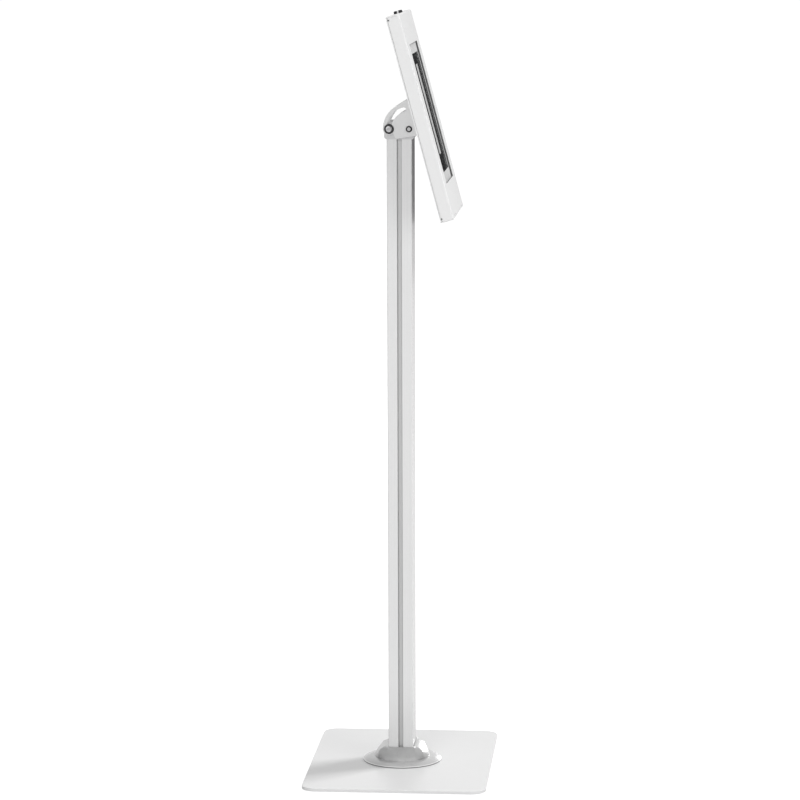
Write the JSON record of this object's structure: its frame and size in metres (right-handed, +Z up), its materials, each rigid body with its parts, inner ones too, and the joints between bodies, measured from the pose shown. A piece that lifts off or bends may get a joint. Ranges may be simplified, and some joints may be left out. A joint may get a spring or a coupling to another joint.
{
  "type": "tablet floor stand",
  "caption": "Floor stand holding a tablet in a lockable hinged case that tilts on a slotted bracket, on an extruded column with a flat base plate.",
  "frame": {"origin": "on the floor, under the column's axis at the middle of the base plate", "axes": "+Z up along the column, -Y towards the user, whom the screen faces, +X to the user's right"},
  "size_m": [0.4, 0.3, 1.2528],
  "materials": {
    "white_paint": "satin",
    "case_paint": "satin",
    "bracket_paint": "satin",
    "head_paint": "satin",
    "column_paint": "satin",
    "grey_plastic": "satin",
    "rubber": "matte",
    "steel_zinc": "satin",
    "steel_bright": "polished",
    "black_plastic": "matte",
    "holder_plastic": "matte",
    "foam": "matte",
    "tablet_back": "satin",
    "bezel": "gloss",
    "screen": "gloss",
    "edging": "matte",
    "lock_chrome": "polished",
    "core_chrome": "polished"
  },
  "bodies": {
    "stand": {"base_plate": "white_paint", "foot_pads": "rubber", "base_screws": "steel_zinc", "column": "column_paint", "cable_grommet": "rubber", "base_collar": "grey_plastic", "head_block": "head_paint", "head_screws": "steel_zinc", "pivot_bushes": "black_plastic", "pivot_screws": "steel_bright", "friction_discs": "black_plastic", "lock_washers": "steel_bright", "lock_screws": "steel_bright"},
    "tilting_case": {"tilt_bracket": "bracket_paint", "bracket_screws": "steel_zinc", "rear_shell": "case_paint", "hinge_pins": "steel_bright", "skirt_buffers": "rubber", "corner_holders": "holder_plastic", "foam_pads": "foam", "tablet_body": "tablet_back", "tablet_bezel": "bezel", "tablet_screen": "screen", "lock_keeper": "steel_zinc"},
    "front_cover": {"front_frame": "case_paint", "window_edging": "edging", "retaining_pads": "foam", "lock_barrel": "lock_chrome", "lock_nut": "steel_zinc"},
    "lock_plug": {"lock_core": "core_chrome", "lock_cam": "steel_zinc"}
  },
  "joints": [
    {"name": "case_tilt", "type": "hinge", "parent": "stand", "child": "tilting_case", "pos_m": [0, -0.0163, 1.062], "axis": [-1, 0, 0], "range_deg": [0, 75]},
    {"name": "front_hinge", "type": "hinge", "parent": "tilting_case", "child": "front_cover", "pos_m": [0, -0.09184, 0.92498], "axis": [1, 0, 0], "range_deg": [0, 120]},
    {"name": "lock_turn", "type": "hinge", "parent": "front_cover", "child": "lock_plug", "pos_m": [0, 0.00343, 1.2469], "axis": [0, 0.2588, 0.9659], "range_deg": [0, 90]}
  ]
}
